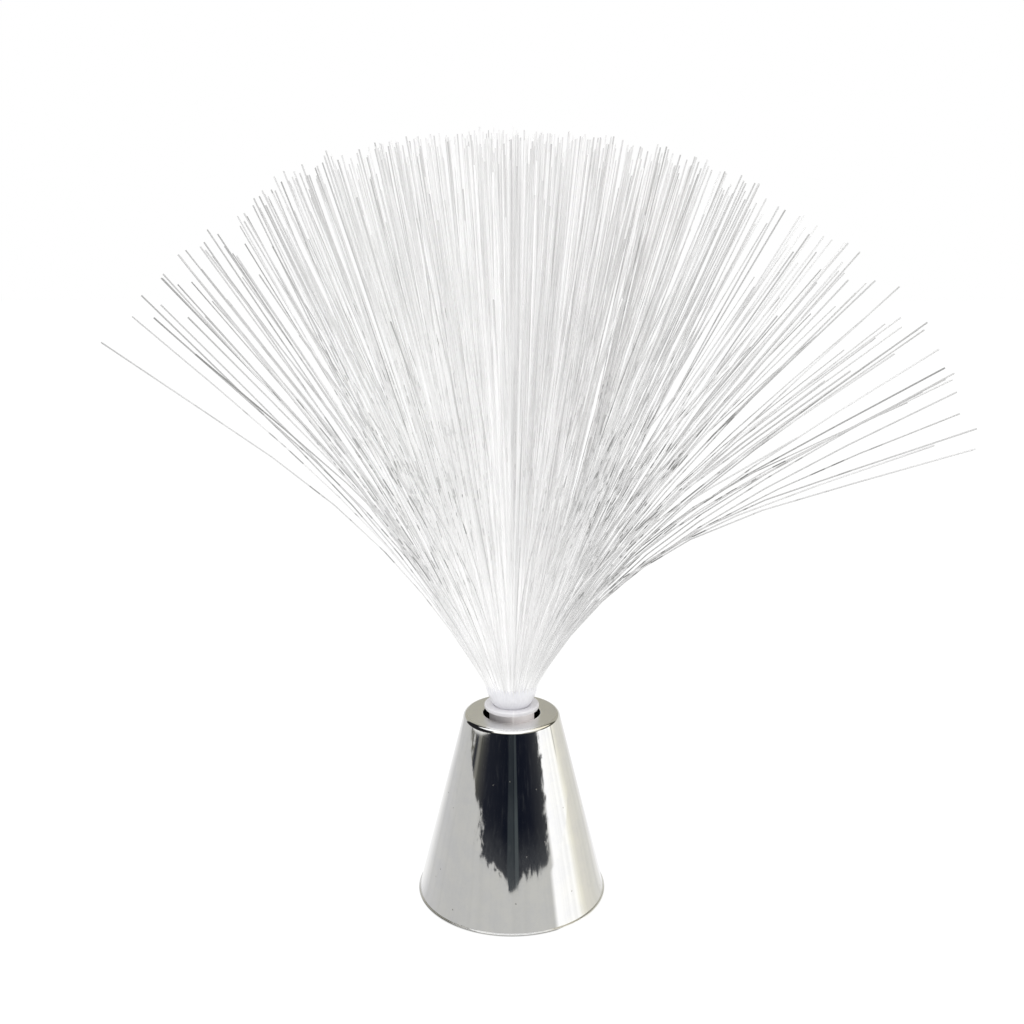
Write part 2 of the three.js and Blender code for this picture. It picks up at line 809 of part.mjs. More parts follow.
// Slide switch case: a box that is open to the cover, with three holes for its terminals.
function switchCase() {
  const top = coverThickness + switchHeight;
  const body = block(
    about(0, switchLength / 2),
    about(switchY, switchWidth / 2),
    [coverThickness, top],
  );
  const cavity = block(
    about(0, sliderCavity / 2),
    about(switchY, switchWidth / 2 - switchWall),
    [coverThickness - overrun, top - switchWall],
  );
  const holes = terminalPlaces().map((x) => block(
    about(x, terminalThickness / 2 + slotGap),
    about(switchY, terminalWidth / 2 + slotGap),
    [top - switchWall - overrun, top + overrun],
  ));
  return piece('switch_case', cut(body, cavity, ...holes), 'steel');
}

function terminalPlaces() {
  return [-terminalPitch, 0, terminalPitch];
}

function switchTerminal(name, x) {
  const foot = coverThickness + switchHeight - terminalDepth;
  return piece(name, block(
    about(x, terminalThickness / 2),
    about(switchY, terminalWidth / 2),
    [foot, terminalTop],
  ), 'brass');
}

// Slider: a carriage in the switch case and a knob down through the cover's slot.
function switchSlider() {
  const x = -switchTravel / 2;
  const foot = coverThickness + sliderGap;
  const carriage = block(
    about(x, sliderLength / 2),
    about(switchY, switchWidth / 2 - switchWall - sliderGap),
    [foot, foot + sliderHeight],
  );
  const knob = block(
    about(x, knobLength / 2),
    about(switchY, knobWidth / 2),
    [knobRecess, foot + sliderHeight / 2],
  );
  return piece('switch_slider', join(carriage, knob), 'blackPlastic');
}

// Insulated wire as a round bar along a smooth curve.
function wire(name, points, finish) {
  const curve = new THREE.CatmullRomCurve3(points.map((point) => new THREE.Vector3(...point)));
  const ring = arc([0, 0], wireRadius, 0, 360 - 360 / wireSides, wireSides - 1);
  const section = new THREE.Shape(ring.map(([x, y]) => new THREE.Vector2(x, y)));
  const options = { steps: wireSteps, extrudePath: curve, bevelEnabled: false };
  return piece(name, solid(new THREE.ExtrudeGeometry(section, options)), finish);
}

function wires() {
  const tabZ = tabTop + wireGap;
  const pinZ = terminalTop + wireGap;
  const padZ = boardUnderside - wireGap;
  const archZ = tabTop + wireArch;
  const middlePin = [0, switchY];
  const endPin = [-terminalPitch, switchY];
  const switchedPad = polar(postCircle, switchedPadAngle);
  const negativePad = polar(postCircle, negativePadAngle);
  const between = ([x0, y0], [x1, y1]) => [(x0 + x1) / 2, (y0 + y1) / 2];
  const positiveTab = [stripX, bayCentreY];
  const negativeTab = [-stripX, bayCentreY];
  return [
    wire('wire_positive', [
      [...positiveTab, tabZ],
      [...positiveTab, tabZ + wireStub],
      [...between(positiveTab, middlePin), archZ],
      [...middlePin, pinZ + 2 * wireStub],
      [...middlePin, pinZ + wireStub],
      [...middlePin, pinZ],
    ], 'red'),
    wire('wire_switched', [
      [...endPin, pinZ],
      [...endPin, pinZ + wireStub],
      [...between(endPin, switchedPad), (pinZ + padZ) / 2],
      [...switchedPad, padZ - wireStub],
      [...switchedPad, padZ],
    ], 'whitePlastic'),
    wire('wire_negative', [
      [...negativeTab, tabZ],
      [...negativeTab, tabZ + wireStub],
      [...between(negativeTab, negativePad), (tabZ + padZ) / 2],
      [...negativePad, padZ - wireStub],
      [...negativePad, padZ],
    ], 'blackPlastic'),
  ];
}

// The parts on their seats
const boardScrew = screwBody(boardScrewLength, screwHeadHeight);
const coverScrew = screwBody(coverScrewLength, screwHeadHeight);
const doorScrew = screwBody(doorScrewLength, doorScrewHeadHeight);

const lightEngine = group(
  socketTube(),
  ledBoard(),
  led('led_red', boardScrewAngles[0], 'red'),
  led('led_green', boardScrewAngles[1], 'green'),
  led('led_blue', boardScrewAngles[2], 'blue'),
  controllerBlob(),
  ...resistorAngles.map((angle, i) => resistor(`resistor_${i + 1}`, angle)),
  ...boardScrewAngles.map((angle, i) => placed(
    piece(`board_screw_${i + 1}`, boardScrew, 'steel'),
    ...polar(postCircle, angle),
    boardUnderside - screwHeadHeight,
  )),
);

const core = pottedCore();
const spray = group(
  bundleSleeve(),
  fibreQuarter('fibres_right', 0, core),
  fibreQuarter('fibres_back', 90, core),
  fibreQuarter('fibres_left', 180, core),
  fibreQuarter('fibres_front', 270, core),
);

const firstCell = bayHalfLength - 2 * stripGap - stripThickness - cellHeight / 2;
const negativeX = -stripX + stripThickness / 2;
const base = group(
  bottomCover(),
  ...coverScrewAngles.map((angle, i) => placed(
    piece(`cover_screw_${i + 1}`, coverScrew, 'steel'),
    ...polar(bossCircle, angle),
    coverCounterbore - screwHeadHeight,
  )),
  ...Array.from({ length: cellCount }, (_, i) => (
    buttonCell(`cell_${i + 1}`, firstCell - i * (cellHeight + cellSpacing))
  )),
  piece('contact_positive', contactStrip(stripX), 'brass'),
  piece('contact_negative', join(contactStrip(-stripX), contactLeaf(negativeX)), 'brass'),
  switchCase(),
  ...terminalPlaces().map((x, i) => switchTerminal(`switch_terminal_${i + 1}`, x)),
  switchSlider(),
  ...wires(),
);

const door = group(
  batteryDoor(),
  ...[-1, 1].map((side, i) => placed(
    piece(`door_screw_${i + 1}`, doorScrew, 'steel'),
    side * doorScrewX,
    bayCentreY,
    doorLift,
  )),
);

const lamp = group(coneHousing(), lightEngine, spray, base, door);

export default lamp;
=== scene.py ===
"""A small battery-powered fibre optic lamp: a chromed cone, a white tube in its mouth, and a spray of
clear fibres that is potted at its foot in milky resin. Lengths are in metres unless a name ends in _mm,
angles written as numbers are in degrees, Z is up and -Y is the front."""

import bpy
import numpy as np
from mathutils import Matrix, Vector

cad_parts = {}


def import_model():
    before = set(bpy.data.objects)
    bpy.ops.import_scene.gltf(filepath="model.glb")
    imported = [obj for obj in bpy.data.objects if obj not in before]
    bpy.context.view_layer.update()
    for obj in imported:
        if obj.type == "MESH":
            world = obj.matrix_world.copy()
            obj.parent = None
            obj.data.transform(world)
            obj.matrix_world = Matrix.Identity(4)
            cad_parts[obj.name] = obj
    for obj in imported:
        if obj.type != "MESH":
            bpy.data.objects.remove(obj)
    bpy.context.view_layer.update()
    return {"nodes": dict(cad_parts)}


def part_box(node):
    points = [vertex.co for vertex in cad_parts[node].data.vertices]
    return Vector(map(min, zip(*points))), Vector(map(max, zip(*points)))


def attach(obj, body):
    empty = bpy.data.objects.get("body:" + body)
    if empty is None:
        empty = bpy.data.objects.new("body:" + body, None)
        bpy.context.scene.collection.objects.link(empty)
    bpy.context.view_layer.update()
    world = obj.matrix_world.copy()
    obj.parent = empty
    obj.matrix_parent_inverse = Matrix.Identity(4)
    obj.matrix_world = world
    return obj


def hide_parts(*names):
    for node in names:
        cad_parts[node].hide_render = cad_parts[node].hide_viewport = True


MM = 0.001
GOLDEN_ANGLE = 180 * (3 - np.sqrt(5))
BLACK = (0.0, 0.0, 0.0)
WHITE = (1.0, 1.0, 1.0)
scene = bpy.context.scene

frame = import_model()


class Value:
    """A shader socket that Python's operators add Math nodes to."""

    def __init__(self, nodes, socket):
        self.nodes = nodes
        self.socket = socket

    def math(self, operation, *others):
        """A Math node on this value and others."""
        return self.nodes.add("ShaderNodeMath", {"operation": operation}, dict(enumerate((self, *others))))

    def __add__(self, other):
        return self.math("ADD", other)

    def __sub__(self, other):
        return self.math("SUBTRACT", other)

    def __rsub__(self, other):
        return self.nodes.add("ShaderNodeMath", {"operation": "SUBTRACT"}, {0: other, 1: self})

    def __mul__(self, other):
        return self.math("MULTIPLY", other)

    def __truediv__(self, other):
        return self.math("DIVIDE", other)

    def __neg__(self):
        return self.math("MULTIPLY", -1)

    __radd__ = __add__
    __rmul__ = __mul__

    def smooth(self, low, high):
        """0 below low, 1 above high, and a smooth rise between them."""
        settings = {"interpolation_type": "SMOOTHSTEP"}
        values = {"Value": self, "From Min": low, "From Max": high}
        return self.nodes.add("ShaderNodeMapRange", settings, values)

    def band(self, low, high, soft):
        """1 between low and high, with edges that are soft by a distance to either side."""
        return self.smooth(low - soft, low + soft) * (1 - self.smooth(high - soft, high + soft))


class Nodes:
    """The node tree of a finish, of a stage piece or of the world."""

    def __init__(self, tree):
        self.tree = tree

    def add(self, kind, settings=None, values=None, output=0):
        """A node of a type, with its settings made first and then its sockets' values or links."""
        node = self.tree.nodes.new(kind)
        for name, setting in (settings or {}).items():
            if name == "stops":
                self.set_stops(node.color_ramp, setting)
            else:
                setattr(node, name, setting)
        for name, value in (values or {}).items():
            self.set(node.inputs[name], value)
        return Value(self, node.outputs[output])

    def set(self, socket, value):
        """Links a Value to a socket, or writes a plain value into it."""
        if isinstance(value, Value):
            self.tree.links.new(value.socket, socket)
        else:
            socket.default_value = value

    @staticmethod
    def set_stops(ramp, stops):
        """Gives a colour ramp its stops, each a position from 0 to 1 and a colour."""
        while len(ramp.elements) < len(stops):
            ramp.elements.new(0.5)
        for element, (position, colour) in zip(ramp.elements, stops):
            element.position = position
            element.color = (*colour, 1)

    def mix(self, share, first, second):
        """A colour that turns from the first to the second as share goes from 0 to 1."""
        colours = [value if isinstance(value, Value) else (*value, 1) for value in (first, second)]
        values = {0: share, 6: colours[0], 7: colours[1]}
        return self.add("ShaderNodeMix", {"data_type": "RGBA"}, values, output=2)

    def place(self, scale=(1, 1, 1)):
        """Object coordinates, stretched by a scale."""
        spot = self.add("ShaderNodeTexCoord", output="Object")
        if scale == (1, 1, 1):
            return spot
        return self.add("ShaderNodeMapping", {}, {"Vector": spot, "Scale": scale})

    def noise(self, size, detail=2, scale=(1, 1, 1), rough=0.5):
        """Noise from 0 to 1 whose lumps have a size in metres."""
        values = {"Vector": self.place(scale), "Scale": 1 / size, "Detail": detail, "Roughness": rough}
        return self.add("ShaderNodeTexNoise", {}, values)

    def axes(self, vector):
        """A vector's three parts."""
        split = self.tree.nodes.new("ShaderNodeSeparateXYZ")
        self.tree.links.new(vector.socket, split.inputs[0])
        return [Value(self, socket) for socket in split.outputs]

    def rays(self, *names):
        """For each name, 1 on rays of that kind and 0 on others."""
        path = self.tree.nodes.new("ShaderNodeLightPath")
        return [Value(self, path.outputs[f"Is {name} Ray"]) for name in names]


class Finish(Nodes):
    """A material with one Principled shader."""

    def __init__(self, name, **constants):
        self.material = bpy.data.materials.new(name)
        self.material.use_nodes = True
        super().__init__(self.material.node_tree)
        self.shader = self.tree.nodes["Principled BSDF"]
        for constant, value in constants.items():
            self.let(constant.replace("_", " ").title(), value)

    def let(self, socket, value):
        """Sets a socket of the shader to a value or links it."""
        self.set(self.shader.inputs[socket], value)

    def glow(self, strength, colour):
        """Light that the surface gives off, of a strength that may change over it."""
        self.let("Emission Color", self.mix(strength, BLACK, colour))

    def bump(self, height, distance):
        """Raises the surface by a height map times a distance in metres."""
        values = {"Height": height, "Distance": distance, "Strength": 1}
        self.let("Normal", self.add("ShaderNodeBump", {}, values))


# Finishes

def chrome_plating():
    """Bright chrome on moulded plastic: nearly a mirror, with a faint ripple, a haze and a tone that
    drift in patches, and a few pits that show as dark specks. The flat top is duller."""
    warm, cool, worn = (0.82, 0.815, 0.80), (0.78, 0.78, 0.785), (0.30, 0.29, 0.27)
    pit_spacing, pit_share = 4.3 * MM, 0.7
    polish, haziness, pit_rough, top_rough = 0.02, 0.1, 0.3, 0.25
    finish = Finish("chrome_plating", metallic=1.0)
    _, _, z = finish.axes(finish.place())
    haze = finish.noise(9 * MM, detail=3)
    flat_top = z.smooth((cone_top_mm - 0.15) * MM, (cone_top_mm - 0.02) * MM)
    pits = finish.add("ShaderNodeTexVoronoi", {}, {"Vector": finish.place(), "Scale": 1 / pit_spacing})
    speck = 1 - pits.smooth(0.04, 0.07)
    mottle = finish.noise(7 * MM, detail=5, rough=0.7).smooth(0.36, 0.66)
    finish.let("Base Color", finish.mix(speck * pit_share, finish.mix(mottle, warm, cool), worn))
    finish.let("Roughness", polish + haziness * haze * haze + pit_rough * speck + top_rough * flat_top)
    finish.bump(finish.noise(14 * MM, detail=1, scale=(1, 1, 0.45)), 0.02 * MM)
    return finish.material


def moulded(name, colour, rough, shade, grain):
    """Moulded plastic: its colour drifts to a darker shade, and a fine grain breaks up its gloss."""
    grain_rough = 0.18
    finish = Finish(name)
    drift = finish.noise(6 * MM, detail=3)
    fine = finish.noise(grain)
    darker = tuple(shade * channel for channel in colour)
    finish.let("Base Color", finish.mix(drift, darker, colour))
    finish.let("Roughness", rough + grain_rough * (fine - 0.5))
    finish.bump(fine, 0.01 * MM)
    return finish.material


def metal(name, colour, rough, stretch):
    """Bare or plated metal: rolled or turned streaks and a faint tarnish in patches."""
    tarnish_share, tarnish_shade, streak_rough = 0.6, 0.72, 0.15
    finish = Finish(name, metallic=1.0)
    streak = finish.noise(0.5 * MM, detail=2, scale=stretch)
    tarnish = finish.noise(2.5 * MM, detail=4)
    dull = tuple(tarnish_shade * channel for channel in colour)
    finish.let("Base Color", finish.mix(tarnish * tarnish_share, colour, dull))
    finish.let("Roughness", rough + streak_rough * streak)
    finish.bump(streak, 0.004 * MM)
    return finish.material


def circuit_board():
    """Green solder mask over copper tracks, which show as slightly raised lighter lines: they run where
    the product of a sine across the board and a cosine along it is near 0."""
    mask, track_tone = (0.045, 0.18, 0.075), (0.09, 0.29, 0.11)
    across_per_metre, along_per_metre = 900, 700
    mask_rough, track_polish = 0.42, 0.1
    finish = Finish("circuit_board", coat_weight=0.2)
    x, y, _ = finish.axes(finish.place())
    waves = (x * across_per_metre).math("SINE") * (y * along_per_metre).math("COSINE")
    track = waves.band(-0.08, 0.08, 0.03)
    finish.let("Base Color", finish.mix(track, mask, track_tone))
    finish.let("Roughness", mask_rough - track_polish * track)
    finish.bump(track, 0.03 * MM)
    return finish.material


def along_resistor(x, y):
    """Distance along a resistor from its middle. The three lie across one circle, a third of a turn
    apart, so it is the arc to the nearest middle: radius arcsin(sin(3 azimuth + 90)) / 3."""
    turn = y.math("ARCTAN2", x) * 3 + np.pi / 2
    radius = (x * x + y * y).math("SQRT")
    return (turn.math("SINE").math("ARCSINE") / 3) * radius


def resistor_body():
    """Tan lacquer with four colour rings, at given places along the body."""
    half_width, soft = 0.25 * MM, 0.03 * MM
    tan, brown, black, red, gold = (
        (0.62, 0.46, 0.26), (0.30, 0.13, 0.03), (0.02, 0.02, 0.02), (0.5, 0.04, 0.03), (0.55, 0.40, 0.10),
    )
    finish = Finish("resistor_body", roughness=0.4, coat_weight=0.3)
    x, y, _ = finish.axes(finish.place())
    along = along_resistor(x, y)
    colour = tan
    for middle_mm, ring in ((-1.9, brown), (-0.7, black), (0.5, red), (2.2, gold)):
        middle = middle_mm * MM
        colour = finish.mix(along.band(middle - half_width, middle + half_width, soft), colour, ring)
    finish.let("Base Color", colour)
    return finish.material


def clear_fibre():
    """Clear light-guiding fibre, whose look is painted into it. A painted shade and reflection comes and
    goes along it, from white to grey, with painted dark dashes that stand in for dark things it mirrors,
    and a painted glow stands in for light that dense fibres pass on to each other. How strong each of these
    is lies stored on its points, as strand_looks works it out."""
    grey_tone, white_tone = (0.20, 0.20, 0.197), (0.97, 0.966, 0.966)
    fleck_share = 0.06
    finish = Finish("clear_fibre", roughness=0.28, emission_strength=1.0)
    # The shade, streak and glow attributes hold painted shade, painted dark reflections and painted glow
    shade, streak, painted_glow_share = (
        finish.add("ShaderNodeAttribute", {"attribute_name": name}, output="Fac")
        for name in ("shade", "streak", "glow")
    )
    # Painted dark dashes, in place of dark things mirrored in the clear fibre
    painted_dark_dash = finish.noise(7 * MM, detail=2, rough=0.6).smooth(0.54, 0.60)
    fleck = finish.noise(1.2 * MM, detail=1)
    # The fibre's white is painted shade and reflection, with a random fleck
    light = shade + fleck_share * (fleck - 0.5) - painted_dark_dash * streak
    finish.let("Base Color", finish.mix(light, grey_tone, white_tone))
    # Painted glow in place of light that dense fibres pass on to each other
    finish.glow(painted_glow_share, WHITE)
    return finish.material


def potting_resin():
    """Milky resin that soaks the foot of the bundle: soft and glossy, with faint streaks up it. What stands
    out of the tube has a painted glow, stronger along the streaks, in place of light scattered inside it."""
    dim, milky, painted_glow_tone = (0.64, 0.64, 0.67), (0.76, 0.76, 0.79), (1.0, 1.0, 1.04)
    lit, streak_painted_light = 0.16, 0.08
    finish = Finish("potting_resin", roughness=0.3, coat_weight=0.4, emission_strength=1.0)
    streak = finish.noise(0.5 * MM, detail=2, scale=(1, 1, 0.12))
    _, _, z = finish.axes(finish.place())
    out = z.smooth((tube_rim_mm - 0.5) * MM, (tube_rim_mm + 4) * MM)
    finish.let("Base Color", finish.mix(streak, dim, milky))
    # Painted glow above the rim, in place of light scattered in the resin
    finish.glow(out * (lit + streak_painted_light * streak), painted_glow_tone)
    finish.bump(streak, 0.03 * MM)
    return finish.material


def white_plastic():
    """White moulded plastic with a faint pale parting line down its front and back. The thin neck under its
    lip has a painted glow that lightens its shade, more on the right and along the parting line."""
    dim, clean, pale, warm = (0.73, 0.72, 0.745), (0.80, 0.79, 0.81), (0.9, 0.9, 0.9), (1.0, 0.93, 0.9)
    left_painted_light, right_painted_light, parting_painted_light, parting_share = 0.06, 0.32, 0.12, 0.4
    finish = Finish("white_plastic", roughness=0.34, coat_weight=0.1, emission_strength=1.0)
    drift = finish.noise(4 * MM, detail=2)
    x, _, z = finish.axes(finish.place())
    parting = x.band(0.3 * MM, 0.8 * MM, 0.15 * MM)
    finish.let("Base Color", finish.mix(parting * parting_share, finish.mix(drift, dim, clean), pale))
    # Painted glow on the neck under the lip, lightening its shade, more on the right and along the parting
    # line
    lip_z = tube_rim_mm - lip_height_mm
    neck = 1 - z.smooth((lip_z - 0.2) * MM, (lip_z + 0.9) * MM)
    to_right = x.smooth(-5 * MM, 5 * MM)
    finish.glow(neck * (left_painted_light + right_painted_light * to_right + parting_painted_light * parting), warm)
    finish.bump(finish.noise(0.3 * MM), 0.005 * MM)
    return finish.material


def lens(name, colour):
    """Tinted clear resin of a diode: glossy, with a darker drift in it."""
    dark_share = 0.6
    finish = Finish(name, roughness=0.12, coat_weight=0.5)
    drift = finish.noise(2 * MM, detail=1)
    darker = tuple(dark_share * channel for channel in colour)
    finish.let("Base Color", finish.mix(drift, darker, colour))
    return finish.material


# Surfaces

def mesh_of(name, points, *faces):
    """A mesh from an array of points and arrays of faces, one array for each number of corners."""
    mesh = bpy.data.meshes.new(name)
    mesh.vertices.add(len(points))
    mesh.vertices.foreach_set("co", np.asarray(points, np.float32).ravel())
    corners = np.concatenate([face.ravel() for face in faces])
    sizes = np.concatenate([np.full(len(face), face.shape[1]) for face in faces])
    starts = np.concatenate([[0], np.cumsum(sizes)[:-1]])
    mesh.loops.add(len(corners))
    mesh.loops.foreach_set("vertex_index", corners.astype(np.int32))
    mesh.polygons.add(len(sizes))
    mesh.polygons.foreach_set("loop_start", starts.astype(np.int32))
    mesh.polygons.foreach_set("use_smooth", np.ones(len(sizes), bool))
    mesh.update(calc_edges=True)
    return mesh


def piece(name, mesh, finish, body, slot, *nodes):
    """Adds a mesh as a piece that rides on a body and stands for the named nodes."""
    thing = bpy.data.objects.new(name, mesh)
    scene.collection.objects.link(thing)
    mesh.materials.append(finish)
    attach(thing, body)
    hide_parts(*nodes)


def turned(profile_mm, turns):
    """Points and faces of a profile turned about the Z axis. The profile is a closed loop of radius and
    height, listed anticlockwise: a point is (radius cos t, radius sin t, height) for t round the axis.
    A solid form ends a hair from the axis, so that its ends close round a hair-thin bore."""
    profile = np.asarray(profile_mm, float) * MM
    t = np.linspace(0, 2 * np.pi, turns, endpoint=False)
    radius, height = profile[:, :1], profile[:, 1:]
    points = np.stack([radius * np.cos(t), radius * np.sin(t), height + 0 * t], -1)
    ring, turn = np.meshgrid(np.arange(len(profile)), np.arange(turns), indexing="ij")
    next_ring, next_turn = (ring + 1) % len(profile), (turn + 1) % turns
    faces = np.stack([
        ring * turns + turn,
        ring * turns + next_turn,
        next_ring * turns + next_turn,
        next_ring * turns + turn,
    ], -1)
    return points.reshape(-1, 3), faces.reshape(-1, 4)


def arc(centre, radius, start, end, steps):
    """Points on an arc: centre + radius (cos a, sin a) for a from the start angle to the end angle."""
    a = np.radians(np.linspace(start, end, steps + 1))
    return np.stack([centre[0] + radius * np.cos(a), centre[1] + radius * np.sin(a)], -1)


def loop(*parts):
    """One profile from single points and arrays of points."""
    return np.concatenate([np.reshape(part, (-1, 2)) for part in parts])


# Chromed cone

cone_low, cone_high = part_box("cone_housing")
bead_mm = 0.35
foot_radius_mm = cone_high.x / MM - bead_mm
top_radius_mm = foot_radius_mm / 2
cone_top_mm = cone_high.z / MM
cone_lift_mm = cone_low.z / MM
cone_wall_mm = 1.8
plate_mm = 2.0
shoulder_mm = 1.5
mouth_radius_mm = 8.97
mouth_edge_mm = 0.5
side_rings = 24
edge_steps = 8
# Rings this close to a rounded edge keep the face beside it looking flat
beside_edge_mm = 0.1
beside_shoulder_mm = 0.3
beside_side_ends_mm = np.array([0.06, 0.15, 0.4])
side_margin_mm = 2
wall_tilt = np.arctan2(foot_radius_mm - top_radius_mm, cone_top_mm - cone_lift_mm)


def outer_radius(z):
    """The cone's outside radius at a height: foot radius - (z - lift) tan(wall tilt)."""
    return foot_radius_mm - (z - cone_lift_mm) * np.tan(wall_tilt)


def inner_radius(z):
    """The same inside, nearer the axis by the wall's thickness / cos(wall tilt)."""
    return outer_radius(z) - cone_wall_mm / np.cos(wall_tilt)


def cone_housing(finish):
    """The shell as one turned loop: up the outside from a half-round bead at the foot, over a rounded
    shoulder, across the top to the round edge of the mouth, and back down the inside."""
    shoulder_z = cone_top_mm - shoulder_mm
    shoulder_r = outer_radius(shoulder_z) - shoulder_mm / np.cos(wall_tilt)
    plate_z = cone_top_mm - plate_mm
    bead_z = cone_lift_mm + bead_mm
    side_foot = bead_z + bead_mm
    mouth_edge_r = mouth_radius_mm + mouth_edge_mm
    mouth_edge_z = cone_top_mm - mouth_edge_mm
    side = np.concatenate([
        side_foot + beside_side_ends_mm,
        np.linspace(side_foot + side_margin_mm, shoulder_z - side_margin_mm, side_rings),
        shoulder_z - beside_side_ends_mm[::-1],
    ])
    points, faces = turned(loop(
        (inner_radius(cone_lift_mm), cone_lift_mm),
        (foot_radius_mm - beside_edge_mm, cone_lift_mm),
        arc((foot_radius_mm, bead_z), bead_mm, -90, 90, edge_steps),
        np.stack([outer_radius(side), side], -1),
        arc((shoulder_r, shoulder_z), shoulder_mm, np.degrees(wall_tilt), 90, edge_steps + 2),
        (shoulder_r - beside_shoulder_mm, cone_top_mm),
        (mouth_edge_r + beside_edge_mm, cone_top_mm),
        arc((mouth_edge_r, mouth_edge_z), mouth_edge_mm, 90, 180, edge_steps),
        (mouth_radius_mm, mouth_edge_z - beside_edge_mm),
        (mouth_radius_mm, plate_z),
        (inner_radius(plate_z), plate_z),
    ), turns=256)
    mesh = mesh_of("cone_shell", points, faces)
    piece("cone_shell", mesh, finish, "lamp_base", "chrome_plating", "cone_housing")


# White tube

tube_neck_mm = 7.1
tube_lip_mm = 8.62
tube_bore_mm = 5.7
tube_rim_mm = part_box("socket_tube")[1].z / MM
flange_mm = 2.0
lip_height_mm = 1.6
lip_foot_edge_mm = 0.7
rim_edge_mm = 0.45


def white_tube(finish):
    """The tube as one turned loop, with a lip at its rim that is round at each edge."""
    low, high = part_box("socket_tube")
    foot = low.z / MM
    flange = high.x / MM
    edge_z = tube_rim_mm - rim_edge_mm
    lip_z = tube_rim_mm - lip_height_mm
    lip_foot = (tube_lip_mm - lip_foot_edge_mm, lip_z + lip_foot_edge_mm)
    points, faces = turned(loop(
        (tube_bore_mm, foot),
        (flange, foot),
        (flange, foot + flange_mm),
        (tube_neck_mm, foot + flange_mm),
        (tube_neck_mm, lip_z - beside_edge_mm),
        arc(lip_foot, lip_foot_edge_mm, -90, 0, edge_steps),
        arc((tube_lip_mm - rim_edge_mm, edge_z), rim_edge_mm, 0, 90, edge_steps),
        arc((tube_bore_mm + rim_edge_mm, edge_z), rim_edge_mm, 90, 180, edge_steps),
    ), turns=160)
    mesh = mesh_of("collar_tube", points, faces)
    piece("collar_tube", mesh, finish, "lamp_base", "white_plastic", "socket_tube")


# Spray of fibres

fibre_nodes = [f"fibres_{quarter}" for quarter in ("right", "back", "left", "front")]
pot_top_mm = tube_rim_mm + 7.15
pot_neck_mm = tube_rim_mm + 3.15
bundle_radius_mm = 5.0
bundle_depth_mm = 0.8
neck_radius_mm = 7.3
root_radius_mm = 8.5

strand_count = 850
strand_radius_mm = 0.2
strand_sides = 4
clump_count = 330
clump_pull = 0.36

# Tilts at the foot and at the tip, and how steeply they rise towards the rim of the bundle
exit_angle = 27.5
exit_power = 1.5
tip_angle = 63.5
tip_lean = 10.5
tip_flat = 6.0
bend_power = 8.0
right_bend_power = 1.5
left_bend_power = 8.0
bend_end_share = 0.85

# Random turns, of which a clump shares most, and lengths
clump_drift, own_drift = 0.75, 0.6
exit_drift, tip_drift, turn_drift, wave_drift = 1.0, 2.0, 2.5, 1.2
most_tip_drift = 2.0
calm_middle = 0.15
strand_length_mm = 164.5
length_drift = 0.006
rim_loss, rim_loss_power = 0.07, 8
broken_mm, broken_power = 8, 14

# Rings of a fibre, by steps of its path, after one in the tube's bore and one in the pot's neck
path_steps = 60
ring_steps = np.array([0, 3, 8, 14, 21, 29, 38, 48, 60])
ring_way = np.concatenate([[0, 0], ring_steps / path_steps])
ring_count = len(ring_way)
soaked_way = 0.06


def strand_roots(rng):
    """Where each fibre stands in the bundle, as a flat place in a circle of radius 1, where its clump
    pulls it, and the clump. The places lie on a sunflower spiral: radius grows with the root of the
    number, and each azimuth is a golden angle on from the last. A clump is the fibres that lie nearest
    to a random one, which pulls them towards itself."""
    number = np.arange(strand_count)
    place = np.sqrt((number + 0.5) / strand_count)
    azimuth = np.radians(number * GOLDEN_ANGLE)
    flat = np.stack([place * np.cos(azimuth), place * np.sin(azimuth)], -1)
    heads = flat[rng.permutation(strand_count)[:clump_count]]
    clump = ((flat[:, None] - heads[None]) ** 2).sum(-1).argmin(1)
    return flat, flat + clump_pull * (heads[clump] - flat), clump


